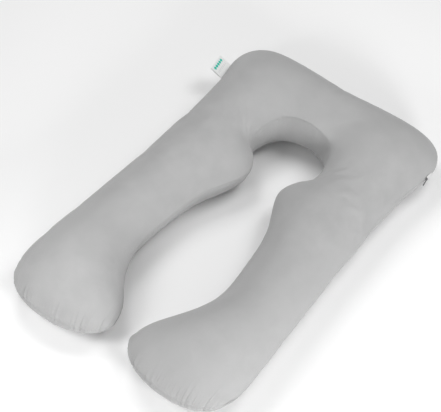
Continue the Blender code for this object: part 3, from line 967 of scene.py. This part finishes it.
def makeZipEnd():
    # strip that follows the outer seam towards the head bar and closes to a point
    low, high = (np.array(corner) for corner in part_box("zip_slider"))
    line = seams["outer"]
    own = line[(line[:, 0] > 0.3) & (line[:, 1] > (low[1] + high[1]) / 2)]
    own = own[np.argsort(own[:, 1])]
    run = np.concatenate([[0], np.cumsum(np.linalg.norm(np.diff(own, axis=0), axis=1))])
    steps = np.linspace(0, 1, zipEnd["lengthSteps"] + 1)
    at = zipEnd["from"] + steps * zipEnd["length"]
    middle = np.stack([np.interp(at, run, own[:, axis]) for axis in range(3)], 1)
    way = unit(np.gradient(middle, axis=0))
    out = unit(np.stack([way[:, 1], -way[:, 0], np.zeros(len(way))], 1))
    half = zipEnd["height"] / 2 * np.sqrt(np.maximum(1 - steps**2, 0))
    half = np.maximum(half, zipEnd["leastHalf"])
    bm = bmesh.new()
    layer = bm.loops.layers.uv.new("tape")
    rows = []
    for n in range(len(steps)):
        rows.append([])
        for side in np.linspace(-1, 1, zipEnd["heightSteps"] + 1):
            proud = zipEnd["set"] + zipEnd["crown"] * (1 - side * side) * (1 - steps[n])
            spot = middle[n] + out[n] * proud + np.array((0, 0, side * half[n]))
            rows[-1].append((bm.verts.new(spot), (at[n], side * half[n])))
    for n in range(len(rows) - 1):
        for k in range(zipEnd["heightSteps"]):
            corners = (rows[n][k], rows[n + 1][k], rows[n + 1][k + 1], rows[n][k + 1])
            face = bm.faces.new([vert for vert, flat in corners])
            face.smooth = True
            for loop, (vert, flat) in zip(face.loops, corners):
                loop[layer].uv = flat
    mesh = bpy.data.meshes.new("zip_tape")
    bm.to_mesh(mesh)
    bm.free()
    tape = bpy.data.objects.new("zip_tape", mesh)
    bpy.context.scene.collection.objects.link(tape)
    body = tape.modifiers.new("tape", "SOLIDIFY")
    body.thickness = zipEnd["thickness"]
    body.offset = -1
    mesh.materials.append(tapeMaterial())
    face = middle + out * (zipEnd["set"] + zipEnd["crown"] * (1 - steps))[:, None]
    inside = half > zipEnd["across"] / 2 + zipEnd["leastHalf"]
    coil = rowOfBars("zip_coil", [(face[inside], out[inside])], zipEnd, coilMaterial())
    area = float((half[1:] + half[:-1]) @ np.diff(at))
    return tape, coil, area


def tapeMaterial():
    # narrow woven tape with ribs along it
    look, tree, shader = newMaterial("woven zip tape")
    cut = addNode(tree, "ShaderNodeUVMap", uv_map="tape").outputs["UV"]
    split = addNode(tree, "ShaderNodeSeparateXYZ", {"Vector": cut}).outputs
    ribs = mathNode(tree, "MULTIPLY", split["Y"], 2 * math.pi / zipEnd["rib"])
    picks = mathNode(tree, "MULTIPLY", split["X"], 2 * math.pi / zipEnd["pick"])
    rib, pick = mathNode(tree, "SINE", ribs), mathNode(tree, "SINE", picks)
    weave = spread(tree, mathNode(tree, "ADD", rib, pick), -2.0, 2.0)
    tree.links.new(blendColour(tree, weave, zipEnd["tapeShade"], zipEnd["tape"]),
                   shader.inputs["Base Color"])
    tree.links.new(bumpNode(tree, weave, 0.00015, 0.6), shader.inputs["Normal"])
    shader.inputs["Roughness"].default_value = 0.8
    return look


def coilMaterial():
    # nylon coil, smooth with faint drawing marks
    look, tree, shader = newMaterial("nylon coil")
    place = addNode(tree, "ShaderNodeTexCoord").outputs["Object"]
    marks = noiseNode(tree, place, 900.0, 2.0)
    rough = addNode(tree, "ShaderNodeMapRange", {"Value": marks, "To Min": 0.30, "To Max": 0.50})
    tree.links.new(rough.outputs["Result"], shader.inputs["Roughness"])
    tree.links.new(bumpNode(tree, marks, 0.00004, 0.4), shader.inputs["Normal"])
    shader.inputs["Base Color"].default_value = zipEnd["coil"]
    return look


tapePiece, coilPiece, tapeArea = makeZipEnd()
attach(tapePiece, "root")
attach(coilPiece, "root")
print("end of the zip set in the seam:", len(coilPiece.data.polygons) // 20, "turns of coil")


studio = {
    "target": (-0.047, 0.0095, 0.09),
    "azimuth": 37.57,
    "elevation": 51.31,
    "distance": 6.007,
    "lens": 148.72,
    "floor": 0.90,
    "air": 0.31,
    # soft lights: azimuth, elevation, distance, size, power in watts, and where each one points
    "lights": {
        "key": (65, 20, 3.0, 0.7, 50, (0, 0)),
        "front": (20, 12, 3.0, 0.7, 17, (0, 0)),
        "back right": (150, 55, 3.0, 1.2, 26, (0, 0)),
        "back left": (240, 55, 3.0, 1.2, 26, (0, 0)),
        "foot end": (-23, 37.6, 1.64, 0.5, 6.5, (-0.3, -0.5)),
    },
}


def studioSpot(azimuth, elevation, distance):
    # azimuth 0 is the foot end of the pillow and 90 its right side
    turn, rise = math.radians(azimuth), math.radians(elevation)
    return distance * Vector((math.sin(turn) * math.cos(rise), -math.cos(turn) * math.cos(rise),
                              math.sin(rise)))


def makeCamera():
    back = studioSpot(studio["azimuth"], studio["elevation"], studio["distance"])
    camera = bpy.data.objects.new("camera", bpy.data.cameras.new("camera"))
    camera.location = Vector(studio["target"]) + back
    camera.rotation_euler = back.to_track_quat("Z", "Y").to_euler()
    camera.data.lens = studio["lens"]
    camera.data.sensor_width = 36
    bpy.context.scene.collection.objects.link(camera)
    bpy.context.scene.camera = camera


def softLight(name, azimuth, elevation, distance, size, power, aim):
    lamp = bpy.data.lights.new(name, "AREA")
    lamp.shape = "SQUARE"
    lamp.size = size
    lamp.energy = power
    place = studioSpot(azimuth, elevation, distance)
    holder = bpy.data.objects.new(name, lamp)
    holder.location = place
    holder.rotation_euler = (place - Vector((*aim, 0.1))).to_track_quat("Z", "Y").to_euler()
    bpy.context.scene.collection.objects.link(holder)


def makeStage():
    bm = bmesh.new()
    bmesh.ops.create_grid(bm, x_segments=1, y_segments=1, size=12)
    mesh = bpy.data.meshes.new("floor")
    bm.to_mesh(mesh)
    bm.free()
    floor = bpy.data.objects.new("floor", mesh)
    bpy.context.scene.collection.objects.link(floor)
    look, tree, shader = newMaterial("pale floor")
    shader.inputs["Base Color"].default_value = (*[studio["floor"]] * 3, 1)
    shader.inputs["Roughness"].default_value = 0.9
    mesh.materials.append(look)
    world = bpy.data.worlds.new("studio air")
    world.use_nodes = True
    world.node_tree.nodes["Background"].inputs["Color"].default_value = (1, 1, 1, 1)
    world.node_tree.nodes["Background"].inputs["Strength"].default_value = studio["air"]
    bpy.context.scene.world = world
    for name, light in studio["lights"].items():
        softLight(name, *light)


makeCamera()
makeStage()
bpy.context.scene.view_settings.view_transform = "Standard"
